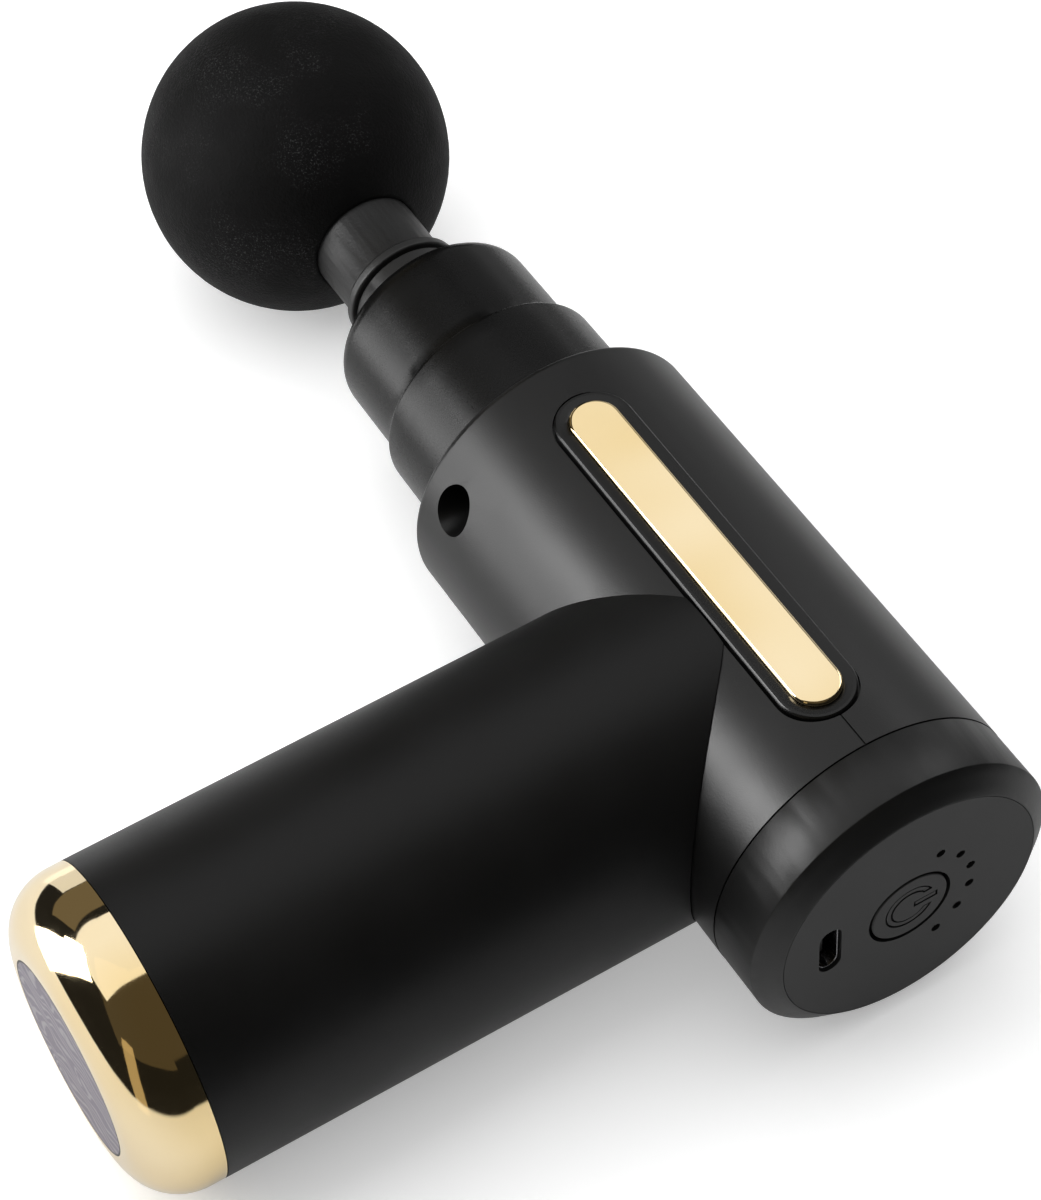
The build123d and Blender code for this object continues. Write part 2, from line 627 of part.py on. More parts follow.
def piston():
    """Slotted yoke, rod and hollow piston in one piece."""
    yoke_thickness = 2 * YOKE_HALF_THICKNESS
    yoke = Box(17.0, yoke_thickness, 22.0)
    yoke = fillet(yoke.edges().filter_by(Axis.Y), 2.5)
    slot_length = 2 * (THROW + PIN_BEARING_R + 0.9)
    slot = Plane.XZ * Rot(0, 0, 90) * SlotOverall(slot_length, 2 * SLOT_HALF_WIDTH)
    yoke -= extrude(slot, yoke_thickness, both=True)
    half_thickness = (-YOKE_HALF_THICKNESS, YOKE_HALF_THICKNESS)
    rod = block((7, 24), half_thickness, (-ROD_R, ROD_R)) + along_x(22, 53, ROD_R)
    sleeve = turned_x([(52, 0), (52, PISTON_R, 1.0), (PISTON_END_X, PISTON_R, 0.4), (PISTON_END_X, 0)])
    body = yoke + rod + sleeve
    body -= along_x(PISTON_END_X - SOCKET_DEPTH, PISTON_END_X + 1, SOCKET_R)
    return body - along_x(PISTON_END_X - SOCKET_DEPTH - 24, PISTON_END_X - SOCKET_DEPTH + 1, 3.5)


def guide_housing():
    return along_x(WALL_X - 0.3, 83.6, HOUSING_R) - along_x(WALL_X - 1, 85, BUSH_R + 0.05)


def guide_bush():
    bush = along_x(54, 82, BUSH_R) - along_x(53, 83, PISTON_R + 0.05)
    for x in (61, 68, 75):
        bush -= along_x(x - 0.8, x + 0.8, PISTON_R + 0.6)
    return bush


def damper_rings():
    rings = []
    for start in (49.2, 62.0):
        low, high = HOUSING_R + 0.03, NOSE_BORE_R - 0.05
        rings.append(turned_x([(start, low), (start, high), (start + 3, high), (start + 3, low)]))
    return group(rings)


def yoke_pads():
    pads = [block((-13, 13), (-6.0, -YOKE_HALF_THICKNESS - 0.4), (z - 2.2, z + 2.2)) for z in (-8.25, 8.25)]
    return group(pads)


# ---------------------------------------------------------------- massage head
def stem_core(margin=0.0):
    """The part of the stem inside the ball: a shank with two anchoring flanges."""
    end = BALL_X - 1.0
    core = along_x(COLLAR_X + COLLAR_WIDTH - 0.5, end + margin, STEM_R + margin)
    for x in (BALL_X - 14.0, BALL_X - 6.0):
        core += along_x(x - margin, x + 2.5 + margin, STEM_R + 2.5 + margin)
    return core


def head_stem():
    plug_start = COLLAR_X - STEM_PLUG_LENGTH
    stem = turned_x([
        (plug_start, 0), (plug_start, STEM_PLUG_R, 0.8), (COLLAR_X, STEM_PLUG_R), (COLLAR_X, COLLAR_R, 0.35),
        (COLLAR_X + COLLAR_WIDTH, COLLAR_R, 0.6), (COLLAR_X + COLLAR_WIDTH, 0)])
    stem += stem_core()
    for x in stem_ring_stations():
        stem -= along_x(x - 1.0, x + 1.0, STEM_PLUG_R + 1) - along_x(x - 2, x + 2, 4.12)
    return stem


def stem_ring_stations():
    return (COLLAR_X - 20.0, COLLAR_X - 8.0)


def stem_rings():
    return group([Pos(x, 0, 0) * Rot(0, 90, 0) * Torus(5.06, 0.9) for x in stem_ring_stations()])


def massage_ball():
    return Pos(BALL_X, 0, 0) * Sphere(BALL_R) - stem_core(0.05)


# ---------------------------------------------------------------- controls and electronics
def power_symbol():
    """Inlay of the button's symbol: an open ring and a bar, each in a slightly wider cut."""
    return symbol(REAR_X + SYMBOL_SINK, REAR_X + SYMBOL_DEPTH + SYMBOL_ROOT)


def symbol(start, end, grown=0.0):
    """The open ring and the bar, as wide as the inlay or grown by this much all round."""
    inner, outer = SYMBOL_R
    arc = along_x(start, end, outer + grown) - along_x(start - 1, end + 1, inner - grown)
    opening = SYMBOL_GAP - grown
    arc -= block((start - 1, end + 1), (-5, 0), (-opening, opening))
    (bar_start, bar_end), bar_half = SYMBOL_BAR
    half = bar_half + grown
    bar = block((start, end), (bar_start - grown, bar_end + grown), (-half, half))
    return group([arc, bar])


def power_button():
    flange_x = BACKPLATE_X + 0.1
    button = turned_x([
        (REAR_X, 0), (REAR_X, BUTTON_R, 0.25), (flange_x, BUTTON_R), (flange_x, BUTTON_R + 1.1),
        (flange_x + 0.8, BUTTON_R + 1.1), (flange_x + 0.8, 2.0), (BOARD_X - 4.2, 2.0), (BOARD_X - 4.2, 0)])
    cut_floor = REAR_X + SYMBOL_DEPTH
    button = without(button, symbol(REAR_X - 0.1, cut_floor, SYMBOL_EDGE))
    return without(button, symbol(cut_floor - 0.1, cut_floor + SYMBOL_ROOT))


def switch_body():
    body = block((BOARD_X - 3.3, BOARD_X), (-3, 3), (-3, 3))
    return body - along_x(BOARD_X - 4, BOARD_X - 0.6, 1.85)


def switch_plunger():
    return along_x(BOARD_X - 4.2, BOARD_X - 1.4, 1.7)


def light_guide():
    """Six clear pins on one curved carrier."""
    carrier = (REAR_X + 4.5, REAR_X + 5.5)
    guide = along_x(*carrier, LED_CIRCLE + 1.0) - along_x(REAR_X, BOARD_X, LED_CIRCLE - 1.0)
    guide &= block(carrier, (-12, -3.0), (-12, 12))
    for angle in LED_ANGLES:
        y, z = polar_yz(LED_CIRCLE, angle)
        guide += along_x(REAR_X + 0.5, PANEL_BACK_X + 0.5, LED_PIN_R, y, z)
        guide += along_x(PANEL_BACK_X, BOARD_X - 1.0, LED_PIN_R + 0.4, y, z)
    return guide


def status_leds():
    leds = []
    for angle in LED_ANGLES:
        y, z = polar_yz(LED_CIRCLE, angle)
        leds.append(block((BOARD_X - 0.8, BOARD_X), (y - 0.7, y + 0.7), (z - 0.7, z + 0.7)))
    return group(leds)


def control_board():
    board = along_x(BOARD_X, BOARD_FRONT_X, 19.6)
    for y, z in ring_boss_places(RING_SCREW_ANGLES):
        board -= along_x(BOARD_X - 1, BOARD_FRONT_X + 1, 1.4, y, z)
    return board


def board_parts():
    """Chips, a choke, two capacitors and the two wire connectors on the board's front face."""
    face = BOARD_FRONT_X
    parts = [
        block((face, face + 1.0), (-4, 1), (-3, 3)), block((face, face + 1.2), (-11, -8), (4, 9)),
        block((face, face + 3.0), (-12, -7), (-8, -3)), block((face, face + 1.0), (-3, 3), (8, 13)),
        along_x(face, face + 6.0, 3.0, -2.0, -10.5), along_x(face, face + 4.0, 2.0, -7.0, 0.5),
        block((face, face + 3.0), (3.4, 6.4), (-4, 4)), block((face, face + 3.0), (7.0, 9.6), (-3.2, 3.2))]
    return group(parts)


def usb_shell():
    start, wall = REAR_X + 0.5, 0.3
    inner = (USB_SIZE[0] - 2 * wall, USB_SIZE[1] - 2 * wall)
    return usb_prism(USB_SIZE, start, BOARD_X) - usb_prism(inner, start - 1, BOARD_X + 1)


def usb_tongue():
    base_size = (USB_SIZE[0] - 0.7, USB_SIZE[1] - 0.7)
    tongue = block((REAR_X + 2.4, BOARD_X - 1), (USB_Y - 0.35, USB_Y + 0.35), (-3.3, 3.3))
    return tongue + usb_prism(base_size, BOARD_X - 2.0, BOARD_X)


# ---------------------------------------------------------------- screws and wires
def shell_screws():
    return group([screw_y(WELL_SEAT_Y + 2.2, 2.2, 2.75, -9.5, 1.5, WELL_X, z) for z in (-WELL_Z, WELL_Z)])


def ring_screws():
    seat = PANEL_BACK_X + 2.0
    end = BOARD_FRONT_X + 4.2
    places = ring_boss_places(RING_SCREW_ANGLES)
    return group([screw_x(seat - 1.8, 1.8, 2.3, end, 1.2, y, z) for y, z in places])


def wire(points, bend, radius):
    """Round wire along straight runs with equal bends."""
    path = FilletPolyline(*points, radius=bend)
    start = Plane(origin=path @ 0, z_dir=path % 0)
    return sweep(start * Circle(radius), path)


def motor_wires():
    wires = []
    for z in (-2.2, 0.0, 2.2):
        wires.append(wire([(-11.0, 12.8, z), (-11.0, 11.5, z), (-16.2, 11.5, z), (-16.2, 5.0, z),
                           (BOARD_FRONT_X + 3.0, 5.0, z)], 1.0, 0.5))
    return group(wires)


def battery_wires():
    wires = []
    for z in (-2.0, 2.0):
        points = [(-18.95, CELL_Y - 1.4, z), (-18.95, 8.0, z), (BOARD_FRONT_X + 3.0, 8.0, z)]
        wires.append(wire(points, 2.0, 0.6))
    return group(wires)


# ---------------------------------------------------------------- nodes
def lower(shape):
    return mirror(shape, about=Plane.XY)


NODES = {
    "barrel_cover_half": barrel_cover_half, "barrel_body_half": barrel_body_half, "rear_ring": rear_ring,
    "rear_panel": rear_panel, "nose_cover": nose_cover, "nose_seal": nose_seal,
    "bezel_upper": bezel, "bezel_lower": lambda: lower(bezel()),
    "gold_trim_upper": gold_trim, "gold_trim_lower": lambda: lower(gold_trim()),
    "grip_sleeve": grip_sleeve, "end_cap": end_cap, "end_label": end_label, "end_plug": end_plug,
    "plug_screws": plug_screws, "battery_cells": battery_cells, "cell_holder_front": cell_holder_front,
    "cell_holder_rear": cell_holder_rear, "nickel_tabs": nickel_tabs, "protection_board": protection_board,
    "motor_base": motor_base, "motor_bearings": motor_bearings, "stator_core": stator_core,
    "stator_windings": stator_windings, "rotor_can": rotor_can, "rotor_magnets": rotor_magnets,
    "motor_shaft": motor_shaft, "motor_screws": motor_screws, "crank": crank,
    "crank_set_screw": crank_set_screw, "pin_bearing": pin_bearing, "pin_clip": pin_clip,
    "piston": piston, "guide_housing": guide_housing, "guide_bush": guide_bush,
    "damper_rings": damper_rings, "yoke_pads": yoke_pads, "head_stem": head_stem,
    "stem_rings": stem_rings, "massage_ball": massage_ball, "power_symbol": power_symbol,
    "power_button": power_button, "switch_body": switch_body, "switch_plunger": switch_plunger,
    "light_guide": light_guide, "status_leds": status_leds, "control_board": control_board,
    "board_parts": board_parts, "usb_shell": usb_shell, "usb_tongue": usb_tongue,
    "shell_screws": shell_screws, "ring_screws": ring_screws, "motor_wires": motor_wires,
    "battery_wires": battery_wires,
}

os.makedirs("parts", exist_ok=True)
for name, make in NODES.items():
    shape = make()
    export_step(Pos(0, 0, AXIS_HEIGHT) * shape, f"parts/{name}.step")
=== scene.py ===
"""Looks of a hand-held massage gun lying on its side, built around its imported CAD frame.

Everything is in metres in the frame's own axes: +X towards the massage head, +Y towards the
handle's end, +Z up, with the floor at zero. The calls that build materials take millimetres.
"""

import json
import math

import bpy
import bmesh
from mathutils import Matrix, Quaternion, Vector, noise


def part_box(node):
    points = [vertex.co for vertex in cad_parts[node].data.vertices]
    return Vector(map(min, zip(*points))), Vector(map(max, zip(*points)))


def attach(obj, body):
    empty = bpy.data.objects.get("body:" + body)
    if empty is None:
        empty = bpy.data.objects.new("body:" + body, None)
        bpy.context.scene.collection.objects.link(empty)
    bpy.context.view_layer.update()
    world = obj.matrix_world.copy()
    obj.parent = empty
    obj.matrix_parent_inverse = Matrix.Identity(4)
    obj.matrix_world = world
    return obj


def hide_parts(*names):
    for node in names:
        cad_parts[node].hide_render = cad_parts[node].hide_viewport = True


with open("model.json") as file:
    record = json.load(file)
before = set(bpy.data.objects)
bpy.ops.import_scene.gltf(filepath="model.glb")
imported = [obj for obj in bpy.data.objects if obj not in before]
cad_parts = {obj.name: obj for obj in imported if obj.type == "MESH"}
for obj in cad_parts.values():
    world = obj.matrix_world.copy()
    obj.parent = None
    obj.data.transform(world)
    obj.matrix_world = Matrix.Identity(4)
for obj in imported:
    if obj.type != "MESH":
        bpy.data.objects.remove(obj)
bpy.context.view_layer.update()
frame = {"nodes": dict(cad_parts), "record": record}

MM = 0.001


# ---------------------------------------------------------------- camera
CAMERA_TARGET = Vector((0.0324, 0.0163, 0.0242))
CAMERA_DISTANCE = 0.5103
CAMERA_AZIMUTH = 242.62
CAMERA_ELEVATION = 51.64
CAMERA_ROLL = -4.747
CAMERA_LENS = 108.17
CAMERA_SENSOR = 36.0
CAMERA_CLIP = (0.01, 20.0)


def make_camera():
    """A long lens behind the handle, looking down and forward, a little rolled."""
    azimuth = math.radians(CAMERA_AZIMUTH)
    elevation = math.radians(CAMERA_ELEVATION)
    roll = math.radians(CAMERA_ROLL)
    back = Vector((
        math.sin(azimuth) * math.cos(elevation),
        -math.cos(azimuth) * math.cos(elevation),
        math.sin(elevation)))
    level = Vector((0, 0, 1)).cross(back).normalized()
    upright = back.cross(level)
    right = math.cos(roll) * level + math.sin(roll) * upright
    up = back.cross(right)
    data = bpy.data.cameras.new("camera")
    data.lens = CAMERA_LENS
    data.sensor_width = CAMERA_SENSOR
    data.clip_start, data.clip_end = CAMERA_CLIP
    camera = bpy.data.objects.new("camera", data)
    turn = Matrix((right, up, back)).transposed().to_4x4()
    camera.matrix_world = Matrix.Translation(CAMERA_TARGET + CAMERA_DISTANCE * back) @ turn
    bpy.context.scene.collection.objects.link(camera)
    bpy.context.scene.camera = camera


# ---------------------------------------------------------------- light
STAGE_CENTRE = Vector((0.03, 0.02, 0.03))

WHITE = (1.0, 1.0, 1.0)
AMBER = (1.0, 0.80, 0.46)
SOFTBOXES = {
    # name: (azimuth from +X towards +Y, elevation, lean, distance, width, height, brightness, colour)
    "flank_box": (58, 14, -17.6, 0.70, 0.27, 0.82, 5.0, WHITE),
    "flank_core": (61, 33, -17.6, 0.69, 0.25, 0.24, 11.0, WHITE),
    "far_box": (-78, 38, 0, 0.80, 0.36, 0.42, 2.0, WHITE),
    "fill_card": (-50, 24, 0, 0.80, 0.62, 0.50, 0.30, WHITE),
    "strip_card": (121, 5, 0, 0.78, 0.16, 0.62, 0.42, AMBER),
    "haze_card": (146, 56, 0, 0.84, 1.30, 1.12, 0.06, AMBER),
    "dusk_card": (10, 28, 0, 0.80, 0.62, 0.42, 0.13, AMBER),
    "low_card": (-2, -3, 0, 0.80, 0.28, 0.44, 0.75, WHITE),
    "far_low_card": (-62, 2, 0, 0.80, 0.60, 0.36, 0.34, WHITE),
}
CEILING_CENTRE = Vector((0.168, 0.11, 0.47))
CEILING_PANEL = (0.456, 0.82, 0.95, WHITE)           # length, width, brightness and colour
FLOOR_LAMP = (10, 84, 0, 1.30, 2.20, 2.20, 1.25, WHITE)
SURROUNDINGS = ((1.0, 0.98, 0.95), 0.015)            # colour and strength, as reflections see them
BACKDROP = (WHITE, 0.95)                             # as the camera sees it past the floor


def make_lamp(name, width, height, brightness, colour):
    """A rectangular lamp with the same brightness all over, which the camera doesn't see."""
    data = bpy.data.lights.new(name, "AREA")
    data.shape = "RECTANGLE"
    data.size = width
    data.size_y = height
    data.energy = brightness * math.pi * width * height
    data.color = colour
    lamp = bpy.data.objects.new(name, data)
    lamp.visible_camera = False
    bpy.context.scene.collection.objects.link(lamp)
    return lamp


def make_softbox(name, azimuth, elevation, lean, distance, *panel):
    """A lamp that faces the stage's centre, turned a little about its own axis."""
    lamp = make_lamp(name, *panel)
    flat = math.cos(math.radians(elevation))
    away = Vector((
        math.cos(math.radians(azimuth)) * flat,
        math.sin(math.radians(azimuth)) * flat,
        math.sin(math.radians(elevation))))
    lamp.location = STAGE_CENTRE + distance * away
    lamp.rotation_mode = "QUATERNION"
    lamp.rotation_quaternion = away.to_track_quat("Z", "Y") @ Quaternion((0, 0, 1), math.radians(lean))
    return lamp


def make_lights():
    """Softboxes and cards that the gloss shows, and one broad lamp for the floor that it doesn't."""
    for name, settings in SOFTBOXES.items():
        make_softbox(name, *settings).visible_diffuse = name.endswith("box")
    make_lamp("ceiling_panel", *CEILING_PANEL).location = CEILING_CENTRE
    make_softbox("floor_lamp", *FLOOR_LAMP).visible_glossy = False


def add_background(tree, colour, strength):
    """A background shader of one colour."""
    node = tree.nodes.new("ShaderNodeBackground")
    node.inputs["Color"].default_value = (*colour, 1.0)
    node.inputs["Strength"].default_value = strength
    return node.outputs["Background"]


def make_world():
    """Dim surroundings for the reflections, and a pale backdrop behind the floor."""
    world = bpy.data.worlds.new("studio")
    world.use_nodes = True
    tree = world.node_tree
    path = tree.nodes.new("ShaderNodeLightPath")
    mix = tree.nodes.new("ShaderNodeMixShader")
    tree.links.new(path.outputs["Is Camera Ray"], mix.inputs["Fac"])
    tree.links.new(add_background(tree, *SURROUNDINGS), mix.inputs[1])
    tree.links.new(add_background(tree, *BACKDROP), mix.inputs[2])
    tree.links.new(mix.outputs["Shader"], tree.nodes["World Output"].inputs["Surface"])
    bpy.context.scene.world = world
    bpy.context.scene.view_settings.view_transform = "Standard"


# ---------------------------------------------------------------- material building
class Finish:
    """A material being built: one Principled shader, and short calls for the nodes that feed it."""

    def __init__(self, name, **sockets):
        self.material = bpy.data.materials.new(name)
        self.material.use_nodes = True
        self.tree = self.material.node_tree
        self.shader = self.tree.nodes["Principled BSDF"]
        for socket, value in sockets.items():
            self.shader.inputs[socket.replace("_", " ")].default_value = value
        self.place = self.add("ShaderNodeTexCoord").outputs["Object"]

    def add(self, kind, links=None, **settings):
        """A new node with its settings, and its inputs linked or set by name or number."""
        node = self.tree.nodes.new(kind)
        for setting, value in settings.items():
            setattr(node, setting, value)
        for socket, value in (links or {}).items():
            self.feed(node.inputs[socket], value)
        return node

    def feed(self, socket, value):
        if isinstance(value, bpy.types.NodeSocket):
            self.tree.links.new(value, socket)
        else:
            socket.default_value = value

    def stretched(self, x, y, z):
        """The object's coordinates, multiplied along each axis."""
        links = {0: self.place, 1: (x, y, z)}
        return self.add("ShaderNodeVectorMath", links, operation="MULTIPLY").outputs[0]

    def mottle(self, size, detail=3.0, coarse=0.5, place=None):
        """Soft noise from 0 to 1, with features of about this size in millimetres."""
        links = {
            "Vector": place or self.place, "Scale": 1 / (size * MM),
            "Detail": detail, "Roughness": coarse}
        return self.add("ShaderNodeTexNoise", links).outputs["Fac"]

    def cells(self, size):
        """Distance to the nearest of many scattered points, this many millimetres apart."""
        links = {"Vector": self.place, "Scale": 1 / (size * MM)}
        return self.add("ShaderNodeTexVoronoi", links, feature="F1").outputs["Distance"]

    def waves(self, pitch, place=None, distortion=0.0):
        """Round waves about the Y axis, with this many millimetres as their scale."""
        links = {"Vector": place or self.place, "Scale": 1 / (pitch * MM), "Distortion": distortion}
        return self.add(
            "ShaderNodeTexWave", links, wave_type="RINGS", rings_direction="Y").outputs["Fac"]

    def distance_from(self, point, place=None):
        """How far a place is from a point."""
        links = {0: place or self.place, 1: point}
        return self.add("ShaderNodeVectorMath", links, operation="DISTANCE").outputs["Value"]

    def sum(self, a, b):
        return self.add("ShaderNodeMath", {0: a, 1: b}, operation="ADD").outputs[0]

    def product(self, a, b):
        return self.add("ShaderNodeMath", {0: a, 1: b}, operation="MULTIPLY").outputs[0]

    def between(self, value, low, high, start=0.0, end=1.0):
        """A value brought from one range to another, and held inside it."""
        links = {"Value": value, "From Min": low, "From Max": high, "To Min": start, "To Max": end}
        return self.add("ShaderNodeMapRange", links).outputs["Result"]

    def blend(self, share, first, second):
        """A colour between two colours."""
        node = self.add("ShaderNodeMix", data_type="RGBA")
        self.feed(node.inputs["Factor"], share)
        self.feed(node.inputs[6], rgba(first))
        self.feed(node.inputs[7], rgba(second))
        return node.outputs[2]

    def colour(self, value):
        self.feed(self.shader.inputs["Base Color"], value)

    def roughness(self, value):
        self.feed(self.shader.inputs["Roughness"], value)

    def relief(self, height, depth, strength=1.0):
        """Bump of this depth in millimetres, on top of any earlier bump."""
        links = {"Height": height, "Distance": depth * MM, "Strength": strength}
        bump = self.add("ShaderNodeBump", links)
        earlier = self.shader.inputs["Normal"].links
        if earlier:
            self.tree.links.new(earlier[0].from_socket, bump.inputs["Normal"])
        self.tree.links.new(bump.outputs["Normal"], self.shader.inputs["Normal"])


def rgba(value):
    """A colour with its alpha, or a node's output as it is."""
    if isinstance(value, bpy.types.NodeSocket) or len(value) == 4:
        return value
    return (*value, 1.0)


def grey(level):
    return (level, level, level)


def scaled(colour, factor):
    """A colour made darker or lighter."""
    return tuple(factor * channel for channel in colour)


# ---------------------------------------------------------------- material families
HANDLE_AXIS_HEIGHT = 24.2 * MM
LABEL_BORDER_R = 13.95 * MM         # past it the disc is coloured a dark thin ring at its edge
LABEL_BORDER_BLUR = 0.05 * MM
LABEL_COLOURS = ((0.17, 0.15, 0.19), (0.44, 0.42, 0.43))
LABEL_BORDER_COLOUR = (0.02, 0.02, 0.02)
MASK_COLOURS = ((0.010, 0.09, 0.035), (0.016, 0.13, 0.05))
TRACK_COLOUR = (0.05, 0.20, 0.07)


def moulded_plastic(name, colour, gloss, grain=0.22, grain_depth=0.012, specular=0.4):
    """Moulded plastic: fine spark-eroded grain, faint flow mottling and uneven sheen."""
    finish = Finish(name, Specular_IOR_Level=specular)
    cloud = finish.mottle(9.0, 4.0)
    fine = finish.mottle(grain, 2.0)
    finish.colour(finish.blend(cloud, scaled(colour, 0.8), scaled(colour, 1.25)))
    uneven = finish.sum(finish.product(cloud, 0.08), finish.product(fine, 0.06))
    finish.roughness(finish.between(uneven, 0.02, 0.12, gloss - 0.04, gloss + 0.05))
    finish.relief(fine, grain_depth)
    return finish.material


def soft_rubber(name, colour, gloss=0.62, specular=0.3):
    """Rubber or soft-touch skin: very fine matt grain, dusty sheen at grazing angles."""
    finish = Finish(name, Specular_IOR_Level=specular, Sheen_Weight=0.008, Sheen_Roughness=0.4)
    cloud = finish.mottle(14.0, 4.0)
    fine = finish.mottle(0.14, 2.0)
    finish.colour(finish.blend(cloud, scaled(colour, 0.75), scaled(colour, 1.3)))
    finish.roughness(finish.between(finish.sum(cloud, fine), 0.7, 1.3, gloss - 0.05, gloss + 0.06))
    finish.relief(fine, 0.010)
    return finish.material


def plated(name, colour, deep_tone_and_sheen):
    """Vacuum-plated trim: mirror gloss with a very slight orange peel and faint haze, and large soft
    patches of deeper gold that are partly plating tone and partly a painted sheen gradient.
    """
    finish = Finish(name, Metallic=1.0)
    # Painted sheen: soft 22 mm patches between the deeper and the paler gold stand in for the strip's
    # gradient of reflections, as well as for uneven plating tone.
    cloud = finish.between(finish.mottle(22.0, 1.0), 0.35, 0.65)
    finish.colour(finish.blend(cloud, deep_tone_and_sheen, colour))
    haze = finish.mottle(2.0, 5.0, 0.7)
    finish.roughness(finish.between(haze, 0.4, 0.8, 0.045, 0.10))
    finish.relief(finish.mottle(3.2, 1.0), 0.003)
    return finish.material


def turned_metal(name, colour, gloss=0.3, streak=0.3, along=(1.0, 1.0, 1.0), depth=0.004):
    """Machined or ground metal, with tool streaks across the given stretch of axes."""
    finish = Finish(name, Metallic=1.0)
    lines = finish.mottle(streak, 3.0, 0.6, place=finish.stretched(*along))
    stain = finish.mottle(5.0, 3.0)
    finish.colour(finish.blend(stain, scaled(colour, 0.82), colour))
    finish.roughness(finish.between(lines, 0.3, 0.7, gloss - 0.08, gloss + 0.12))
    finish.relief(lines, depth)
    return finish.material


def cast_metal(name, colour):
    """Die-cast or sintered metal with a sandy skin."""
    finish = Finish(name, Metallic=1.0)
    sand = finish.cells(0.5)
    stain = finish.mottle(4.0, 4.0)
    finish.colour(finish.blend(stain, scaled(colour, 0.7), colour))
    finish.roughness(finish.between(sand, 0.1, 0.8, 0.42, 0.6))
    finish.relief(sand, 0.03)
    return finish.material


def winding_wire(name, colour):
    """Enamelled copper wire, wound in close turns round each tooth, with painted shade in the grooves
    between turns.
    """
    finish = Finish(name, Metallic=1.0, Coat_Weight=0.6, Coat_Roughness=0.15)
    turns = finish.waves(1 / 0.35, distortion=0.4)
    # Painted shade: the copper darkens to under half its colour in the grooves between turns.
    finish.colour(finish.blend(turns, scaled(colour, 0.45), colour))
    finish.roughness(finish.between(turns, 0.0, 1.0, 0.42, 0.24))
    finish.relief(turns, 0.08)
    return finish.material


def foam(name):
    """Dense closed-cell foam: small open pores and pale flecks on matt black."""
    finish = Finish(name, Specular_IOR_Level=0.10, Sheen_Weight=0.01, Sheen_Roughness=0.5)
    pores = finish.cells(0.55)
    patches = finish.between(finish.mottle(16.0, 2.0), 0.46, 0.62)
    flecks = finish.product(finish.between(finish.mottle(0.30, 2.0, 0.7), 0.56, 0.70), patches)
    cloud = finish.mottle(7.0, 3.0)
    skin = finish.blend(cloud, grey(0.0016), grey(0.0036))
    finish.colour(finish.blend(flecks, skin, grey(0.05)))
    finish.roughness(finish.between(cloud, 0.3, 0.7, 0.58, 0.72))
    finish.relief(finish.mottle(0.35, 3.0, 0.65), 0.10)
    finish.relief(pores, 0.05)
    return finish.material


def swirled_label(name):
    """Printed metal-film disc: grey violet with lighter swirled ornament that isn't lettering."""
    finish = Finish(name, Metallic=0.35, Specular_IOR_Level=0.4)
    warp = finish.add("ShaderNodeTexNoise", {"Vector": finish.place, "Scale": 0.14 / MM, "Detail": 1.0})
    shift_links = {0: warp.outputs["Color"], 1: (0.012, 0.0, 0.012)}
    shift = finish.add("ShaderNodeVectorMath", shift_links, operation="MULTIPLY")
    moved = finish.add("ShaderNodeVectorMath", {0: finish.place, 1: shift.outputs[0]}).outputs[0]
    swirl = finish.between(finish.waves(1 / 0.16, moved), 0.55, 0.9)
    speck = finish.mottle(0.3, 3.0, 0.7)
    print_colour = finish.blend(finish.product(swirl, speck), *LABEL_COLOURS)
    radius = finish.distance_from((0.0, 0.0, HANDLE_AXIS_HEIGHT), finish.stretched(1.0, 0.0, 1.0))
    border = finish.between(radius, LABEL_BORDER_R - LABEL_BORDER_BLUR, LABEL_BORDER_R)
    finish.colour(finish.blend(border, print_colour, LABEL_BORDER_COLOUR))
    finish.roughness(finish.between(speck, 0.3, 0.7, 0.38, 0.55))
    finish.relief(speck, 0.01)
    return finish.material


def shrink_film(name, colour):
    """Heat-shrunk film over round cells, with length-wise wrinkles."""
    finish = Finish(name, Specular_IOR_Level=0.5, Coat_Weight=0.4, Coat_Roughness=0.1)
    wrinkle = finish.mottle(1.6, 3.0, place=finish.stretched(1.0, 0.12, 1.0))
    finish.colour(finish.blend(wrinkle, scaled(colour, 0.7), colour))
    finish.roughness(finish.between(wrinkle, 0.3, 0.7, 0.22, 0.4))
    finish.relief(wrinkle, 0.06)
    return finish.material


def circuit_board(name):
    """Green solder mask over copper tracks laid out on a square grid."""
    finish = Finish(name, Specular_IOR_Level=0.5, Coat_Weight=0.5, Coat_Roughness=0.15)
    links = {"Vector": finish.place, "Scale": 0.5 / MM}
    tracks = finish.add("ShaderNodeTexVoronoi", links, distance="MANHATTAN").outputs["Distance"]
    copper = finish.between(tracks, 0.42, 0.5)
    weave = finish.mottle(0.4, 2.0)
    mask = finish.blend(weave, *MASK_COLOURS)
    finish.colour(finish.blend(copper, mask, TRACK_COLOUR))
    finish.roughness(finish.between(weave, 0.3, 0.7, 0.28, 0.42))
    finish.relief(copper, 0.03)
    return finish.material


def smoked_clear(name):
    """Dark translucent plastic that the lights shine through."""
    finish = Finish(name, Specular_IOR_Level=0.5, Transmission_Weight=0.25, IOR=1.49)
    haze = finish.mottle(0.8, 2.0)
    finish.colour(finish.blend(haze, grey(0.010), grey(0.022)))
    finish.roughness(finish.between(haze, 0.3, 0.7, 0.22, 0.36))
    finish.relief(haze, 0.01)
    return finish.material


def wire_sleeve(name, colour):
    """Extruded silicone sleeve of a wire, a little dusty."""
    finish = Finish(name, Specular_IOR_Level=0.4, Sheen_Weight=0.1)
    dust = finish.mottle(1.2, 4.0)
    finish.colour(finish.blend(dust, scaled(colour, 0.75), colour))
    finish.roughness(finish.between(dust, 0.3, 0.7, 0.45, 0.6))
    finish.relief(finish.mottle(0.2, 2.0), 0.01)
    return finish.material


STEEL = (0.56, 0.57, 0.58)


def made(family, *values, **settings):
    """A finish of this family, which still waits for its name."""
    return lambda name: family(name, *values, **settings)


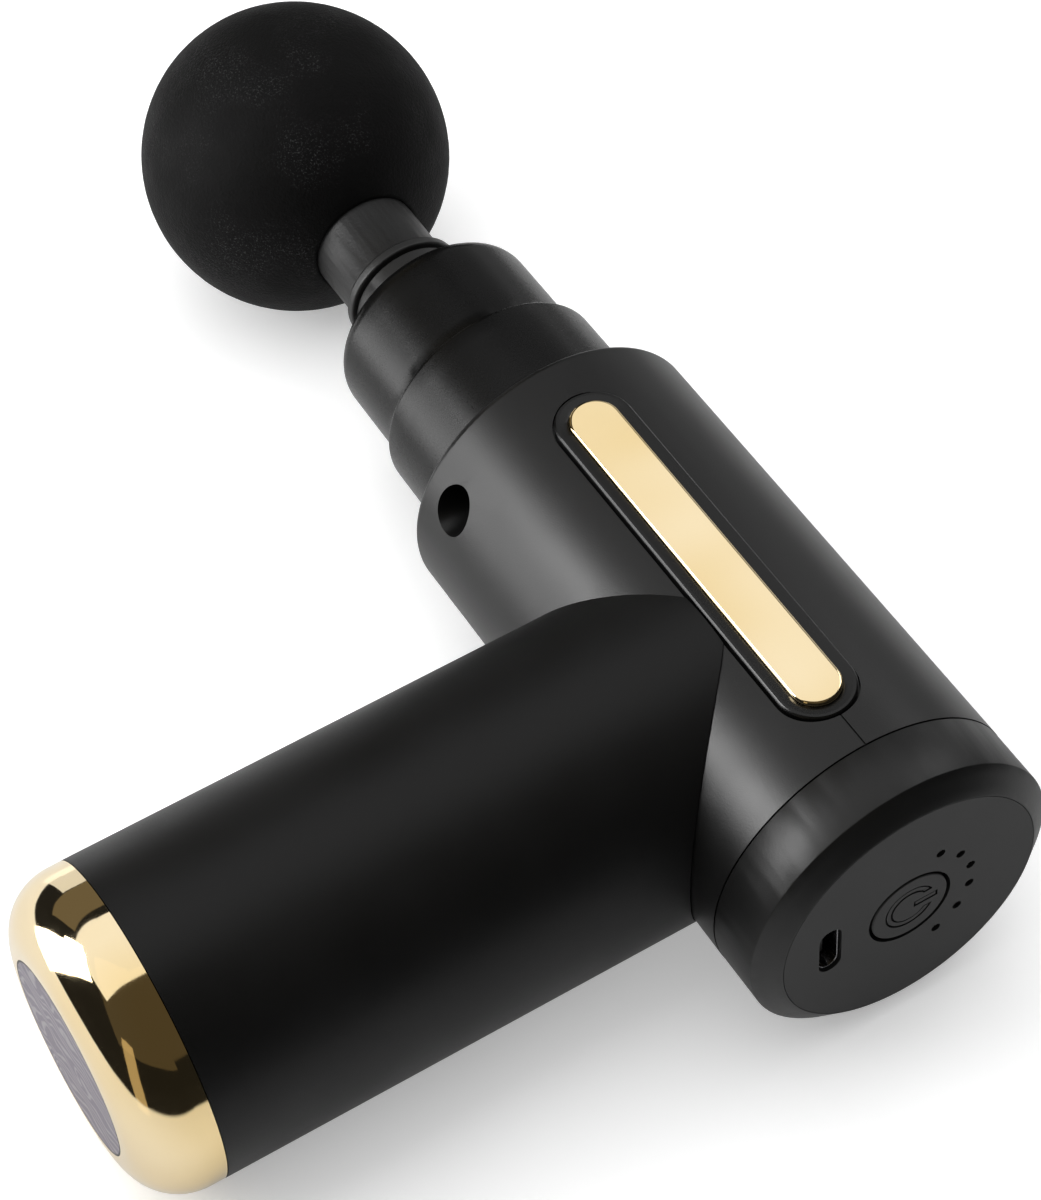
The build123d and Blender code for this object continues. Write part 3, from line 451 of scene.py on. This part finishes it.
FINISHES = {
    "shell_black": made(moulded_plastic, grey(0.003), 0.36, specular=0.42),
    "ring_black": made(moulded_plastic, grey(0.0035), 0.42, specular=0.42),
    "panel_grey": made(moulded_plastic, grey(0.008), 0.44, grain=0.16, specular=0.28),
    "nose_black": made(moulded_plastic, grey(0.0018), 0.27, grain_depth=0.006, specular=0.28),
    "bezel_black": made(moulded_plastic, grey(0.0026), 0.28, grain_depth=0.004, specular=0.36),
    "button_grey": made(moulded_plastic, grey(0.008), 0.44, grain=0.16, specular=0.28),
    "stem_grey": made(moulded_plastic, grey(0.012), 0.40, grain=0.5, grain_depth=0.03, specular=0.42),
    "piston_grey": made(moulded_plastic, grey(0.012), 0.34, specular=0.5),
    "inner_black": made(moulded_plastic, grey(0.012), 0.50, grain=0.3),
    "acetal_white": made(moulded_plastic, (0.72, 0.71, 0.67), 0.40, grain=0.4),
    "seal_rubber": made(soft_rubber, grey(0.010)),
    "grip_soft_touch": made(soft_rubber, grey(0.0040), 0.44, 0.24),
    "gold_plating": made(plated, (0.99, 0.82, 0.53), (0.91, 0.70, 0.36)),
    "label_grey": swirled_label,
    "screw_steel": made(turned_metal, STEEL, 0.34, 0.25),
    "bearing_steel": made(turned_metal, (0.66, 0.67, 0.68), 0.2, 0.2, (1.0, 6.0, 1.0)),
    "port_steel": made(turned_metal, (0.24, 0.24, 0.25), 0.20, 0.3, (0.2, 1.0, 1.0)),
    "nickel": made(turned_metal, (0.68, 0.65, 0.60), 0.3, 0.3, (0.1, 1.0, 1.0)),
    "stator_steel": made(turned_metal, (0.42, 0.43, 0.45), 0.35, 0.3, (0.3, 8.0, 0.3), 0.02),
    "magnet_grey": made(cast_metal, (0.24, 0.24, 0.26)),
    "cast_aluminium": made(cast_metal, (0.62, 0.63, 0.64)),
    "bronze": made(cast_metal, (0.58, 0.36, 0.18)),
    "copper": made(winding_wire, (0.80, 0.36, 0.16)),
    "cell_wrap": made(shrink_film, (0.05, 0.22, 0.42)),
    "circuit_green": circuit_board,
    "clear_light": smoked_clear,
    "ball_foam": foam,
    "wire_yellow": made(wire_sleeve, (0.75, 0.55, 0.06)),
    "wire_red": made(wire_sleeve, (0.55, 0.03, 0.02)),
}


def make_finishes():
    """One material for each of the record's material slots."""
    slots = [material["slot"] for material in frame["record"]["materials"]]
    return {slot: FINISHES[slot](slot + "_finish") for slot in slots}


# ---------------------------------------------------------------- ball
BALL_WALK = 0.02 * MM       # how far the foam's skin sinks in its pores
BALL_PORE = 1.6 * MM
BALL_SKIN = 0.97            # share of the radius past which a point is skin, and not bore
BALL_BORE = 8.5 * MM
BALL_BORE_DEPTHS = (12.0, 8.0, 5.0, 3.0, 2.0, 1.2, 0.8)     # rings in the bore, in millimetres
BALL_LIP = 0.7 * MM
BALL_LIP_SINK = 0.6         # share of the lip's width by which it rolls inwards
BALL_LIP_STEPS = 6
BALL_ROUND_STEPS = 256
BALL_ARC_STEPS = 150


def ball_profile():
    """(x, radius) points of the ball's half section: out of the bore, over the lip and round."""
    low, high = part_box("massage_ball")
    radius = (high.z - low.z) / 2
    centre_x = high.x - radius
    start = math.asin(BALL_BORE / radius)
    lip_angle = start + BALL_LIP / radius
    mouth_x = centre_x - radius * math.cos(start)
    points = [(mouth_x + depth * MM, BALL_BORE) for depth in BALL_BORE_DEPTHS]
    for step in range(BALL_LIP_STEPS):
        share = step / BALL_LIP_STEPS
        angle = start + (lip_angle - start) * share
        reach = radius - BALL_LIP * (1 - share) ** 2 * BALL_LIP_SINK
        points.append((centre_x - reach * math.cos(angle), reach * math.sin(angle)))
    for step in range(BALL_ARC_STEPS + 1):
        angle = lip_angle + (math.pi - lip_angle) * step / BALL_ARC_STEPS
        points.append((centre_x - radius * math.cos(angle), radius * math.sin(angle)))
    return points, Vector((centre_x, 0, (low.z + high.z) / 2)), radius


def make_ball(finishes):
    """The foam ball: a turned skin with shallow pores, open where the stem goes in."""
    profile, centre, radius = ball_profile()
    mesh = bpy.data.meshes.new("massage_ball_foam")
    build = bmesh.new()
    rings = []
    for x, r in profile[:-1]:
        ring = []
        for step in range(BALL_ROUND_STEPS):
            angle = 2 * math.pi * step / BALL_ROUND_STEPS
            ring.append(build.verts.new((x, r * math.cos(angle), centre.z + r * math.sin(angle))))
        rings.append(ring)
    pole = build.verts.new((profile[-1][0], 0, centre.z))
    for ring, following in zip(rings, rings[1:]):
        for step in range(BALL_ROUND_STEPS):
            after = (step + 1) % BALL_ROUND_STEPS
            build.faces.new((ring[step], ring[after], following[after], following[step]))
    for step in range(BALL_ROUND_STEPS):
        build.faces.new((rings[-1][step], rings[-1][(step + 1) % BALL_ROUND_STEPS], pole))
    for vert in build.verts:
        away = vert.co - centre
        if away.length > radius * BALL_SKIN:
            rough = noise.fractal(vert.co / BALL_PORE, 0.6, 2.0, 3)
            vert.co -= away.normalized() * BALL_WALK * min(1.0, max(0.0, 0.5 + rough))
    for face in build.faces:
        face.smooth = True
    bmesh.ops.recalc_face_normals(build, faces=build.faces)
    build.to_mesh(mesh)
    build.free()
    ball = bpy.data.objects.new("massage_ball_foam", mesh)
    bpy.context.scene.collection.objects.link(ball)
    mesh.materials.append(finishes["ball_foam"])
    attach(ball, "head")
    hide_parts("massage_ball")


# ---------------------------------------------------------------- CAD nodes
EDGE_ROUNDING = 0.12 * MM
EDGE_SEGMENTS = 2
EDGE_ANGLE = 30.0           # edges that turn less than this, in degrees, stay as they are
WELD_REACH = 0.001 * MM
ROUNDED_NODES = {
    "rear_ring", "nose_cover", "bezel_upper", "bezel_lower",
    "power_button", "usb_shell", "head_stem", "piston"}


def round_edges(node):
    """A fine rounding on a node's sharp edges, so that they catch the light as moulded edges do."""
    weld = node.modifiers.new("weld", "WELD")
    weld.merge_threshold = WELD_REACH
    bevel = node.modifiers.new("edge rounding", "BEVEL")
    bevel.width = EDGE_ROUNDING
    bevel.segments = EDGE_SEGMENTS
    bevel.limit_method = "ANGLE"
    bevel.angle_limit = math.radians(EDGE_ANGLE)
    bevel.use_clamp_overlap = True
    bevel.harden_normals = True


def dress_cad_nodes(finishes):
    """Gives every CAD node its finish, and rounds the sharp edges of the listed ones a little."""
    for name, node in frame["nodes"].items():
        slot = node.data.materials[0].name.split(".")[0]
        for held in node.material_slots:
            held.material = finishes[slot]
        if name in ROUNDED_NODES:
            round_edges(node)


# ---------------------------------------------------------------- floor
TABLE_CENTRE = (0.04, 0.03, 0.0)
TABLE_REACH = 0.23                   # radius of the round table that the gloss sees
TABLE_EDGE = 0.04
TABLE_DIMMING = 0.38
FLOOR_SIZE = 3.0
FLOOR_CELLS = 8
FLOOR_GREYS = (0.86, 0.90)
FLOOR_GLOW = (0.38, 0.95)            # near and far: the far floor is past the lamp's reach
FLOOR_GLOW_REACH = (0.5, 1.6)


def shade_reflection(finish, table_distance):
    """The gloss sees a dimmer table, and past its edge the cards and the dark studio beyond."""
    far = finish.between(table_distance, TABLE_REACH, TABLE_REACH + TABLE_EDGE, TABLE_DIMMING)
    path = finish.add("ShaderNodeLightPath")
    share = finish.product(far, path.outputs["Is Glossy Ray"])
    clear = finish.add("ShaderNodeBsdfTransparent")
    links = {0: share, 1: finish.shader.outputs[0], 2: clear.outputs[0]}
    mix = finish.add("ShaderNodeMixShader", links)
    finish.feed(finish.tree.nodes["Material Output"].inputs["Surface"], mix.outputs[0])


def make_floor():
    """Plain pale floor, far larger than the view."""
    mesh = bpy.data.meshes.new("floor")
    build = bmesh.new()
    bmesh.ops.create_grid(build, x_segments=FLOOR_CELLS, y_segments=FLOOR_CELLS, size=FLOOR_SIZE)
    build.to_mesh(mesh)
    build.free()
    floor = bpy.data.objects.new("floor", mesh)
    bpy.context.scene.collection.objects.link(floor)
    finish = Finish("floor_paper", Specular_IOR_Level=0.1, Emission_Color=(*WHITE, 1.0))
    table_distance = finish.distance_from(TABLE_CENTRE)
    glow = finish.between(table_distance, *FLOOR_GLOW_REACH, *FLOOR_GLOW)
    finish.feed(finish.shader.inputs["Emission Strength"], glow)
    finish.colour(finish.blend(finish.mottle(40.0), *map(grey, FLOOR_GREYS)))
    finish.roughness(0.9)
    shade_reflection(finish, table_distance)
    mesh.materials.append(finish.material)


make_camera()
make_world()
make_lights()
finishes = make_finishes()
dress_cad_nodes(finishes)
make_ball(finishes)
make_floor()
